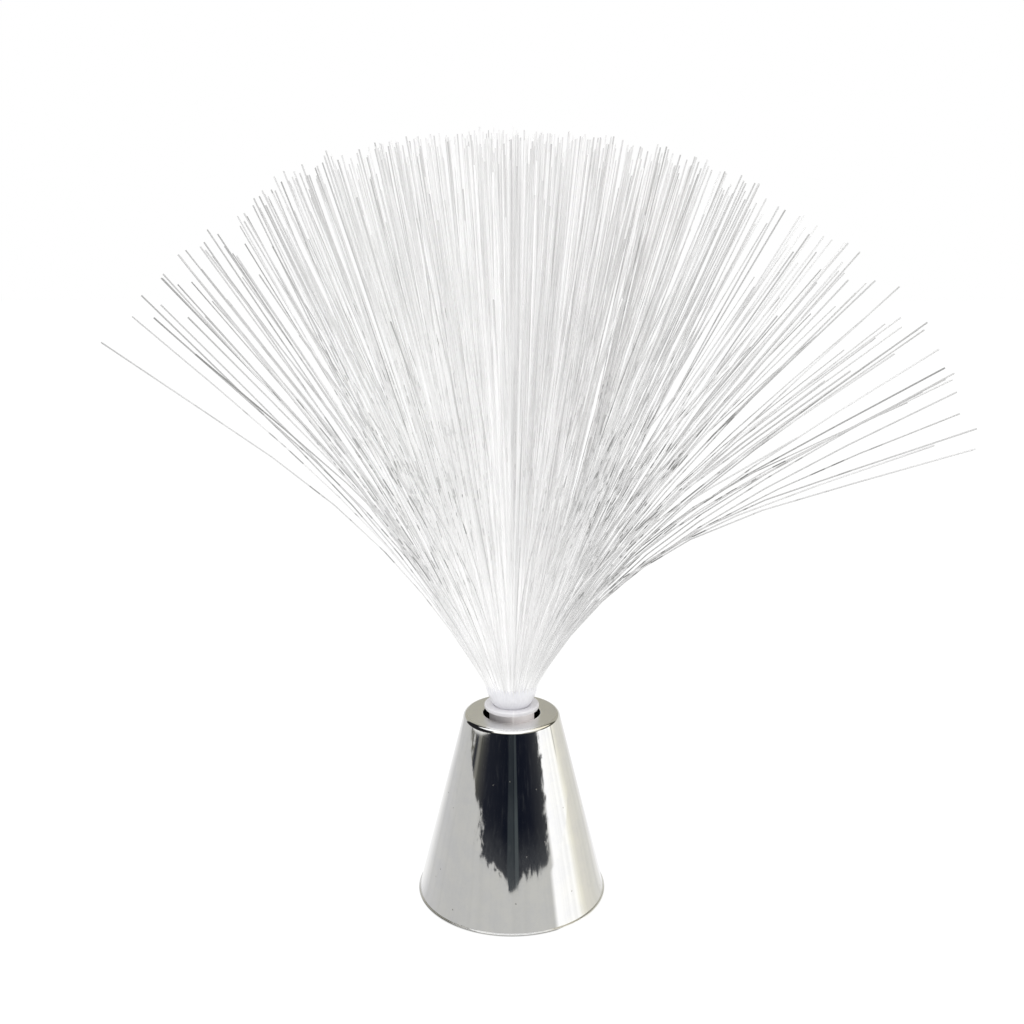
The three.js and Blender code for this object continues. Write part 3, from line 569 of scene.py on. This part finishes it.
def strand_paths(flat, pulled, clump, rng):
    """Points along every fibre in millimetres, as an array of fibre, ring and axis.

    A fibre comes out of the tube's bore, spreads with its place over the neck of the foot, and leaves
    the foot at its exit angle. From there its tilt goes to its tip angle along a sine of the way up,
    as its weight bends it, and the point moves on by a step along (sin tilt cos azimuth, sin tilt
    sin azimuth, cos tilt). Only the fibres near the rim of the bundle bend far, fewer of them on the
    left; the front and back ones bend a little less, and all of these are shorter. Fibres that cling
    together share most of their drift, which is a small random turn of the tilt and the azimuth. A
    few fibres are broken off short."""
    place = np.hypot(pulled[:, 0], pulled[:, 1])
    aim = np.arctan2(pulled[:, 1], pulled[:, 0])

    def drift(size):
        """A random turn for each fibre, of about size degrees."""
        shared = clump_drift * rng.normal(size=clump_count)[clump]
        return size * (shared + own_drift * rng.normal(size=strand_count))

    exit_tilt = exit_angle * place ** exit_power + drift(exit_drift)
    lean = tip_lean * np.cos(aim) - tip_flat * np.sin(aim) ** 2
    to_right, to_left = np.maximum(np.cos(aim), 0), np.maximum(-np.cos(aim), 0)
    power = bend_power + right_bend_power * to_right + left_bend_power * to_left
    tip_tilt = exit_tilt + (tip_angle + lean - exit_angle) * place ** power
    tip_tilt = tip_tilt + np.minimum(drift(tip_drift), most_tip_drift)
    turn_over_length = np.radians(drift(turn_drift)) / np.maximum(place, calm_middle)
    wave = drift(wave_drift)
    uneven = length_drift * rng.normal(size=strand_count)
    length = strand_length_mm * (1 + uneven - rim_loss * place ** rim_loss_power)
    length = length - broken_mm * rng.random(strand_count) ** broken_power

    way = (np.arange(path_steps) + 0.5) / path_steps
    bend = np.sin(np.pi / 2 * np.minimum(1, way / bend_end_share))
    bent = exit_tilt[:, None] + (tip_tilt - exit_tilt)[:, None] * bend
    tilt = np.radians(bent + wave[:, None] * np.sin(2 * np.pi * way))
    turn = aim[:, None] + turn_over_length[:, None] * way
    heading = np.stack([np.sin(tilt) * np.cos(turn), np.sin(tilt) * np.sin(turn), np.cos(tilt)], -1)
    steps = heading * (length / path_steps)[:, None, None]
    bore, neck, root = (
        np.column_stack([radius * flat, np.full(strand_count, height)])
        for radius, height in (
            (bundle_radius_mm, tube_rim_mm - bundle_depth_mm),
            (neck_radius_mm, pot_neck_mm),
            (root_radius_mm, pot_top_mm),
        )
    )
    rise = np.concatenate([root[:, None], root[:, None] + np.cumsum(steps, 1)], 1)[:, ring_steps]
    return np.concatenate([bore[:, None], neck[:, None], rise], 1)


def strands(finish, rng):
    """All the fibres as thin bars: round each point of a path lies a ring of corners, at
    point + radius (cos t out + sin t side), where side is level and out = side x heading."""
    flat, pulled, clump = strand_roots(rng)
    path = strand_paths(flat, pulled, clump, rng)
    heading = np.gradient(path, axis=1)
    heading /= np.linalg.norm(heading, axis=-1, keepdims=True)
    aim = np.arctan2(pulled[:, 1], pulled[:, 0])[:, None] + np.zeros(ring_count)
    side = np.stack([-np.sin(aim), np.cos(aim), 0 * aim], -1)
    out = np.cross(side, heading)
    t = np.linspace(0, 2 * np.pi, strand_sides, endpoint=False)[:, None]
    around = np.cos(t) * out[:, :, None] + np.sin(t) * side[:, :, None]
    points = (path[:, :, None] + strand_radius_mm * around) * MM
    fibre, ring, k = np.meshgrid(
        np.arange(strand_count), np.arange(ring_count - 1), np.arange(strand_sides), indexing="ij",
    )
    first = (fibre * ring_count + ring) * strand_sides
    after = (k + 1) % strand_sides
    walls = np.stack([first + k, first + after, first + strand_sides + after, first + strand_sides + k], -1)
    start = np.arange(strand_count)[:, None] * ring_count * strand_sides
    foot = start + np.arange(strand_sides)[::-1]
    tip = start + (ring_count - 1) * strand_sides + np.arange(strand_sides)
    mesh = mesh_of("fibre_spray", points.reshape(-1, 3), walls.reshape(-1, 4), foot, tip)
    # Painted shade, painted dark reflections and painted glow, stored on the points
    for name, values in strand_looks(pulled, rng).items():
        attribute = mesh.attributes.new(name, "FLOAT", "POINT")
        spread = np.repeat(np.clip(values, 0, 1).ravel(), strand_sides)
        attribute.data.foreach_set("value", spread.astype(np.float32))
    piece("fibre_spray", mesh, finish, "fibre_spray", "clear_fibre", *fibre_nodes)


def hill(middle, width):
    """A smooth hill over the way along a fibre: exp(-((way - middle) / width) squared)."""
    return np.exp(-((ring_way - middle) / width) ** 2)


def strand_looks(pulled, rng):
    """Three painted values for each fibre at each ring: its painted shade and reflection, how dark its
    painted dark reflections are, and its painted glow. They follow its place in the bundle, where x goes
    from -1 on the left to 1 on the right, and beside from 0 at the front and back to 1 at the sides."""
    x = pulled[:, :1]
    place = np.hypot(x, pulled[:, 1:])
    beside = np.abs(x) / np.maximum(place, 0.01)
    return {
        "shade": strand_painted_shade(x, place, beside, rng),
        "streak": strand_painted_dashes(place, beside, rng),
        "glow": strand_painted_glow(x, place, rng),
    }


def strand_painted_shade(x, place, beside, rng):
    """Painted shade and reflection of a fibre: its foot's white less a loss along it and a steep one at its
    tip, less painted shade at the rim of the bundle and the sides of the spray, except for the tips on the
    right. One random part is the fibre's own and another comes and goes along it. Where resin soaks the
    foot the white is lowered, which the painted glow makes up for, so that all the fibres look alike there."""
    foot_white, way_loss, tip_loss, soaked_painted_shade = 0.91, 0.13, 0.06, 0.5
    own_part, ring_part = 0.11, 0.12
    rim_painted_shade, side_painted_shade, right_tip_gain = 0.10, 0.32, 0.8
    foot_unlike, unlike_rise = 0.1, 4
    varied = own_part * rng.normal(size=(strand_count, 1))
    varied = varied + ring_part * rng.normal(size=(strand_count, ring_count))
    # Painted shade at the rim and sides of the spray, less at the tips on the right
    painted_bright_tip = right_tip_gain * np.maximum(x, 0) * ring_way ** 2
    painted_side_shade = (rim_painted_shade + side_painted_shade * beside) * place ** 5 * (1 - painted_bright_tip)
    # Painted loss along the fibre and at its tip, and a lowered white where resin soaks the foot
    white = foot_white - way_loss * ring_way - tip_loss * ring_way ** 6 - soaked_painted_shade * hill(0, soaked_way)
    return white + (varied - painted_side_shade) * np.minimum(1, foot_unlike + unlike_rise * ring_way)


def strand_painted_dashes(place, beside, rng):
    """How dark a fibre's painted dark reflections are: random, darkest near half its length, and far darker
    towards the sides of the spray than within it."""
    everywhere, at_sides, strength = 0.12, 1.1, 1.5
    clear_foot = 0.3
    chance = rng.random((strand_count, ring_count))
    most = hill(0.46, 0.25) * np.minimum(1, ring_way / clear_foot)
    return (everywhere + at_sides * beside * place ** 3) * most * chance * strength


def strand_painted_glow(x, place, rng):
    """Painted glow of a fibre, in place of light that dense fibres pass on to each other: most on the left,
    where the key light falls, with a swell a fifth of the way up, and fading towards the tip, sooner on the
    right. Near the middle of the spray the tips get some too. More painted glow lies where the resin soaks
    the foot, most at the very foot. All of it varies at random, and the outermost fibres get less."""
    painted_glow_level, swell, tip_light = 0.19, 0.25, 0.18
    by_x, by_x_squared = -0.3, 0.32
    fade_power, fade_by_x = 2.6, 1.8
    soaked_light, foot_light = 0.24, 0.12
    random_part, outermost_loss = 0.12, 0.25
    # Painted glow, most on the key-lit left
    lit = painted_glow_level * (1 + by_x * x + by_x_squared * x ** 2) * (1 + swell * hill(0.2, 0.1))
    fading = lit * (1 - ring_way ** (fade_power - fade_by_x * x))
    glow = fading + tip_light * (1 - np.abs(x)) ** 2 * ring_way ** 2
    glow = glow + soaked_light * hill(0, soaked_way) + foot_light * hill(0, soaked_way) ** 6
    glow = glow * (1 + random_part * rng.normal(size=(strand_count, ring_count)))
    return glow * (1 - outermost_loss * place ** 20)


# Potted foot

def potted_foot(finish):
    """Milky foot of the bundle, turned: a plug in the sleeve, a neck in the tube's bore and a trumpet
    inside the fibres that opens over the rim as a power of a sine, with a dome on top whose height
    falls with the square of the radius."""
    low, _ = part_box("fibres_right")
    foot = low.z / MM
    axis_mm, plug_mm, bore_mm, dome_mm = 0.02, 4.7, 5.55, 6.0
    plug_top = tube_rim_mm - 1.6
    neck_foot = tube_rim_mm - 1.0
    trumpet_foot = tube_rim_mm - 0.4
    trumpet_rise = pot_top_mm - tube_rim_mm + 0.2
    within_roots, flare_power = 0.965, 0.85
    trumpet_rings, dome_rings = 13, 9
    top = within_roots * root_radius_mm
    rise = np.linspace(0, 1, trumpet_rings)
    trumpet = np.stack([
        bore_mm + (top - bore_mm) * np.sin(rise * np.pi / 2) ** flare_power,
        trumpet_foot + trumpet_rise * rise,
    ], -1)
    share = np.linspace(1, 0, dome_rings)[1:-1]
    points, faces = turned(loop(
        (axis_mm, foot),
        (plug_mm, foot),
        (plug_mm, plug_top),
        (bore_mm, neck_foot),
        trumpet,
        np.stack([top * share, pot_top_mm + dome_mm * (1 - share ** 2)], -1),
        (axis_mm, pot_top_mm + dome_mm),
    ), turns=96)
    mesh = mesh_of("potted_foot", points, faces)
    piece("potted_foot", mesh, finish, "fibre_spray", "clear_fibre", *fibre_nodes)


# Studio

def grey(level):
    """A colour with all three channels at a level."""
    return (level, level, level)


def camera():
    """The photograph's viewpoint, fitted to the cone's outline."""
    focal_px, frame_px = 1200, 1024
    looks_down = 13.58
    data = bpy.data.cameras.new("camera")
    data.lens = data.sensor_width * focal_px / frame_px
    thing = bpy.data.objects.new("camera", data)
    thing.location = (0.0001, -0.3545, 0.2115)
    thing.rotation_euler = (np.radians(90 - looks_down), 0, 0)
    scene.collection.objects.link(thing)
    scene.camera = thing


def world():
    """Even white light all round, which rays that show the background see as plain white."""
    ambient = 0.72
    sky = bpy.data.worlds.new("studio")
    scene.world = sky
    sky.use_nodes = True
    nodes = Nodes(sky.node_tree)
    seen, mirrored, sent_on = nodes.rays("Camera", "Glossy", "Transmission")
    shown = seen.math("MAXIMUM", mirrored).math("MAXIMUM", sent_on)
    background = nodes.tree.nodes["Background"]
    nodes.set(background.inputs["Color"], (*WHITE, 1))
    nodes.set(background.inputs["Strength"], ambient + (1 - ambient) * shown)


def by_azimuth(nodes, azimuth, stops):
    """A colour that goes through stops, each an azimuth from -180 to 180 and a colour."""
    positions = [(angle / 360 + 0.5, colour) for angle, colour in stops]
    return nodes.add("ShaderNodeValToRGB", {"stops": positions}, {0: azimuth / 360 + 0.5})


def studio_walls(nodes, azimuth):
    """The bright side of the studio by azimuth from the front: a grey wall in front and to the left, a
    tall white softbox to the right with a cream edge, a warm grey wall past it, and white behind. Faint
    upright bands lie over all of it."""
    band_tone, band_share, bands_per_degree = (0.45, 0.45, 0.43), 0.13, 0.09
    walls = by_azimuth(nodes, azimuth, [
        (-180, WHITE),
        (-162, grey(0.92)),
        (-136.8, grey(0.66)),
        (-93.6, (0.61, 0.61, 0.60)),
        (52.2, (0.64, 0.64, 0.62)),
        (57.6, grey(1.25)),
        (90, (1.25, 1.25, 1.23)),
        (96.48, (1.12, 1.10, 1.00)),
        (102.6, (0.96, 0.94, 0.83)),
        (111.6, (0.84, 0.82, 0.75)),
        (133.2, (0.78, 0.77, 0.71)),
        (154.8, (0.82, 0.81, 0.77)),
        (180, WHITE),
    ])
    values = {"W": azimuth, "Scale": bands_per_degree, "Detail": 3}
    bands = nodes.add("ShaderNodeTexNoise", {"noise_dimensions": "1D"}, values)
    return nodes.mix(band_share * bands.smooth(0.4, 0.7), walls, band_tone)


def camera_side_tone(nodes, azimuth, height, fade):
    """Tone of the dark camera side by azimuth: brownish with a pale stripe on the far left, nearly
    black in the middle and dark grey to the right. Two faint upright lines stand in its middle, weaker
    higher up, and pale scuffs lie on it, more where it fades towards its foot."""
    line_tone, scuff_tone = (0.10, 0.12, 0.125), (0.12, 0.125, 0.13)
    left_line, right_line, high_loss, scuff_share, fade_share = 0.36, 0.7, 0.4, 0.4, 0.35
    tone = by_azimuth(nodes, azimuth, [
        (-108, (0.16, 0.155, 0.135)),
        (-82.08, (0.16, 0.155, 0.135)),
        (-78.12, (0.035, 0.037, 0.045)),
        (-74.88, (0.035, 0.037, 0.045)),
        (-70.92, (0.24, 0.235, 0.21)),
        (-67.32, (0.22, 0.215, 0.19)),
        (-64.08, (0.09, 0.09, 0.08)),
        (-55.8, (0.05, 0.05, 0.052)),
        (-45, (0.016, 0.018, 0.026)),
        (0, (0.005, 0.007, 0.014)),
        (28.8, (0.010, 0.012, 0.020)),
        (45, (0.032, 0.034, 0.040)),
        (57.6, (0.070, 0.072, 0.075)),
    ])
    lines = azimuth.band(-6, 3, 1) * left_line + azimuth.band(4, 9, 1) * right_line
    tone = nodes.mix(lines * (1 - high_loss * height.smooth(32 * MM, 50 * MM)), tone, line_tone)
    scuff = nodes.noise(16 * MM, detail=6, scale=(1, 1, 2), rough=0.8).smooth(0.5, 0.8)
    return nodes.mix(scuff * scuff_share + fade * fade_share, tone, scuff_tone)


def with_camera_side(nodes, azimuth, height, walls):
    """Puts the dark camera side before the walls. Its left and right edges are ragged; the left one
    stands further out above a step. Its foot is torn and hangs lowest in the middle, and on the right
    it lies lower than on the left."""
    left_edge, left_widening, left_step = -43, 6, 44
    right_edge, low_widening, high_widening = 50, 4, 3
    left_ragged, right_ragged, sharp = 70, 45, 0.8
    foot_mm, side_rise_mm, right_drop_mm, torn_mm = 3.8, 7, 6.2, 16
    ragged = nodes.noise(9 * MM, detail=5, scale=(0.25, 0.25, 2), rough=0.8) - 0.5
    torn = nodes.noise(12 * MM, detail=4, scale=(0.5, 0.5, 4), rough=0.6) - 0.5
    step = height.smooth(26 * MM, 36 * MM)
    left = left_edge - left_widening * height.smooth(12 * MM, 28 * MM) - left_step * step
    left = left + (left_ragged + left_ragged * step) * ragged
    right = right_edge + low_widening * height.smooth(9 * MM, 18 * MM)
    right = right + high_widening * height.smooth(30 * MM, 45 * MM) + right_ragged * ragged
    across = (azimuth - left).smooth(-sharp, sharp) * (1 - (azimuth - right).smooth(-sharp, sharp))
    sides = (azimuth + 0.5).math("ABSOLUTE").smooth(1, 17)
    rise = sides * (side_rise_mm - right_drop_mm * azimuth.smooth(2, 44))
    above_foot = height - (foot_mm + rise + torn * torn_mm) * MM
    dark = across * above_foot.smooth(-0.5 * MM, 0.5 * MM)
    fade = 1 - above_foot.smooth(0, 22 * MM)
    return nodes.mix(dark, walls, camera_side_tone(nodes, azimuth, height, fade))


def with_ceiling(nodes, azimuth, height, glow):
    """Puts a warm grey ceiling over what lies below it, with a dark gap under it on each side, a white
    streak under the left gap, and a white lamp on it towards the front, which is cream on the right.
    The cone's top edge mirrors the wall lower down on the left, so the left gap and streak climb with
    the azimuth."""
    left_tone, right_tone = (0.49, 0.475, 0.405), (0.45, 0.435, 0.37)
    left_gap_tone, right_gap_tone = (0.02, 0.02, 0.022), (0.09, 0.085, 0.065)
    streak_tone = (1.0, 1.0, 0.98)
    lamp_white, lamp_cream = grey(1.4), (1.15, 1.08, 0.88)
    gap_mm, gap_climb_mm = 93, 0.53
    lamp_foot_mm, wing_rise_mm, right_wing = 115, 85, 0.5
    to_right = (azimuth * (np.pi / 180)).math("SINE").smooth(-0.1, 0.1)
    ceiling = nodes.mix(to_right, left_tone, right_tone)
    glow = nodes.mix(height.smooth(88 * MM, 92 * MM), glow, ceiling)
    above_left = height - (gap_mm + gap_climb_mm * azimuth) * MM
    streak = azimuth.band(-96, -48, 3) * above_left.smooth(-3.6 * MM, -2.6 * MM)
    glow = nodes.mix(streak, glow, streak_tone)
    left_gap = azimuth.band(-122, -44, 4) * above_left.smooth(-0.6 * MM, 0.6 * MM)
    right_gap = azimuth.band(70, 122, 4) * height.smooth(86 * MM, 92 * MM)
    glow = nodes.mix(left_gap, glow, left_gap_tone)
    glow = nodes.mix(right_gap, glow, right_gap_tone)
    wings = (-azimuth).smooth(38, 46) + right_wing * azimuth.smooth(22, 32)
    above_lamp_foot = height - (lamp_foot_mm + wing_rise_mm * wings) * MM
    lamp = azimuth.band(-92, 106, 4) * above_lamp_foot.smooth(0, 4 * MM)
    return nodes.mix(lamp, glow, nodes.mix(azimuth.smooth(40, 90), lamp_white, lamp_cream))


def studio_glow(nodes, azimuth, height):
    """What the lamp faces in the studio, by azimuth from the front and by height: walls with a grey
    seam to the right, the dark camera side in front, and the ceiling overhead."""
    seam_tone, seam_share = (0.40, 0.39, 0.36), 0.7
    seam = azimuth.band(95, 98, 1.5) * height.smooth(20 * MM, 32 * MM)
    walls = nodes.mix(seam * seam_share, studio_walls(nodes, azimuth), seam_tone)
    glow = with_camera_side(nodes, azimuth, height, walls)
    return with_ceiling(nodes, azimuth, height, glow)


def around(nodes):
    """Azimuth from the front in degrees, to the right, and height, from the place on a stage piece."""
    x, y, z = nodes.axes(nodes.place())
    return x.math("ARCTAN2", -y) * (180 / np.pi), z


def reflection_tent():
    """A round wall about the lamp that only glossy rays see, so that the chrome shows a studio."""
    radius, foot, top, sides = 0.21, -0.001, 0.5, 96
    k = np.arange(sides)
    t = 2 * np.pi * k / sides
    ring = np.stack([radius * np.cos(t), radius * np.sin(t)], -1)
    points = np.concatenate([np.c_[ring, np.full(sides, foot)], np.c_[ring, np.full(sides, top)]])
    faces = np.stack([k, (k + 1) % sides, sides + (k + 1) % sides, sides + k], -1)
    thing = bpy.data.objects.new("reflection_tent", mesh_of("reflection_tent", points, faces))
    scene.collection.objects.link(thing)
    for ray in ("camera", "diffuse", "transmission", "volume_scatter", "shadow"):
        setattr(thing, f"visible_{ray}", False)
    finish = Finish("reflection_tent")
    emission = finish.add("ShaderNodeEmission", {}, {"Color": studio_glow(finish, *around(finish))})
    finish.set(finish.tree.nodes["Material Output"].inputs["Surface"], emission)
    finish.tree.nodes.remove(finish.shader)
    thing.data.materials.append(finish.material)


def floor():
    """A white floor that keeps the lamp's shadow. In the chrome it shows the studio in the direction
    in which the cone mirrors it: azimuth times radius / (radius - mirror radius), so that the edges of
    the softbox run on straight down to the foot."""
    size, drop = 3.0, 0.02 * MM
    mirror_radius = 14.5 * MM
    plain_white, plain_share = 1.15, 0.75
    corners = size * np.array([(-1, -1, 0), (1, -1, 0), (1, 1, 0), (-1, 1, 0)]) - (0, 0, drop)
    thing = bpy.data.objects.new("floor", mesh_of("floor", corners, np.array([[0, 1, 2, 3]])))
    scene.collection.objects.link(thing)
    finish = Finish("floor", roughness=0.9)
    finish.let("Base Color", (0.8, 0.8, 0.8, 1))
    camera_ray, glossy_ray = finish.rays("Camera", "Glossy")
    x, y, _ = finish.axes(finish.place())
    azimuth, _ = around(finish)
    radius = (x * x + y * y).math("SQRT")
    azimuth = azimuth * (radius / (radius - mirror_radius))
    white = finish.add("ShaderNodeEmission", {}, {"Strength": plain_white})
    mirrored = finish.add("ShaderNodeEmission", {}, {"Color": studio_walls(finish, azimuth)})
    paint = Value(finish, finish.shader.outputs[0])
    shown = finish.add("ShaderNodeMixShader", {}, {0: camera_ray * plain_share, 1: paint, 2: white})
    shown = finish.add("ShaderNodeMixShader", {}, {0: glossy_ray, 1: shown, 2: mirrored})
    finish.set(finish.tree.nodes["Material Output"].inputs["Surface"], shown)
    thing.data.materials.append(finish.material)


def lamps():
    """A large soft key light from the upper left front and a weaker one from the right, both turned
    to the middle of the lamp."""
    middle = np.array([0, 0, 0.1])
    for name, place, size, power in (
        ("key", (-0.5, -0.6, 0.9), 0.6, 4.5),
        ("fill", (0.7, -0.3, 0.6), 0.5, 2.0),
    ):
        data = bpy.data.lights.new(name, "AREA")
        data.size = size
        data.energy = power
        thing = bpy.data.objects.new(name, data)
        thing.location = place
        aim = middle - np.array(place)
        tip = np.arctan2(np.hypot(aim[0], aim[1]), -aim[2])
        thing.rotation_euler = (tip, 0, np.arctan2(aim[1], aim[0]) - np.pi / 2)
        thing.visible_glossy = False
        scene.collection.objects.link(thing)


def dress(finishes):
    """Gives every CAD node that stays its finish, by its name or by its name without its number."""
    for name, node in frame["nodes"].items():
        finish = finishes.get(name) or finishes.get(name.rstrip("0123456789_"))
        if finish:
            node.data.materials.clear()
            node.data.materials.append(finish)


rng = np.random.default_rng(7)
chrome = chrome_plating()
fibre = clear_fibre()
resin = potting_resin()
white = white_plastic()
black = moulded("black_plastic", (0.032, 0.032, 0.034), rough=0.5, shade=0.75, grain=0.35 * MM)
steel = metal("screw_steel", (0.6, 0.6, 0.61), rough=0.25, stretch=(1, 1, 0.2))
tin = metal("switch_steel", (0.58, 0.58, 0.58), rough=0.3, stretch=(0.15, 1, 1))
brass = metal("contact_brass", (0.72, 0.55, 0.24), rough=0.24, stretch=(1, 1, 0.15))
can = metal("cell_can", (0.7, 0.7, 0.71), rough=0.15, stretch=(1, 0.3, 0.3))
finishes = {
    "led_board": circuit_board(),
    "led_red": lens("lens_red", (0.65, 0.05, 0.04)),
    "led_green": lens("lens_green", (0.05, 0.42, 0.12)),
    "led_blue": lens("lens_blue", (0.04, 0.13, 0.62)),
    "controller_blob": moulded("black_resin", (0.02, 0.02, 0.02), rough=0.15, shade=0.8, grain=1 * MM),
    "resistor": resistor_body(),
    "board_screw": steel,
    "cover_screw": steel,
    "door_screw": steel,
    "bundle_sleeve": black,
    "bottom_cover": black,
    "battery_door": black,
    "switch_slider": black,
    "switch_case": tin,
    "switch_terminal": brass,
    "contact_positive": brass,
    "contact_negative": brass,
    "cell": can,
    "wire_positive": moulded("wire_red", (0.5, 0.03, 0.03), rough=0.4, shade=0.8, grain=0.5 * MM),
    "wire_switched": moulded("wire_white", (0.78, 0.78, 0.76), rough=0.4, shade=0.85, grain=0.5 * MM),
    "wire_negative": moulded("wire_black", (0.025, 0.025, 0.025), rough=0.4, shade=0.8, grain=0.5 * MM),
}

camera()
world()
floor()
reflection_tent()
lamps()
cone_housing(chrome)
white_tube(white)
strands(fibre, rng)
potted_foot(resin)
dress(finishes)

scene.view_settings.view_transform = "Standard"
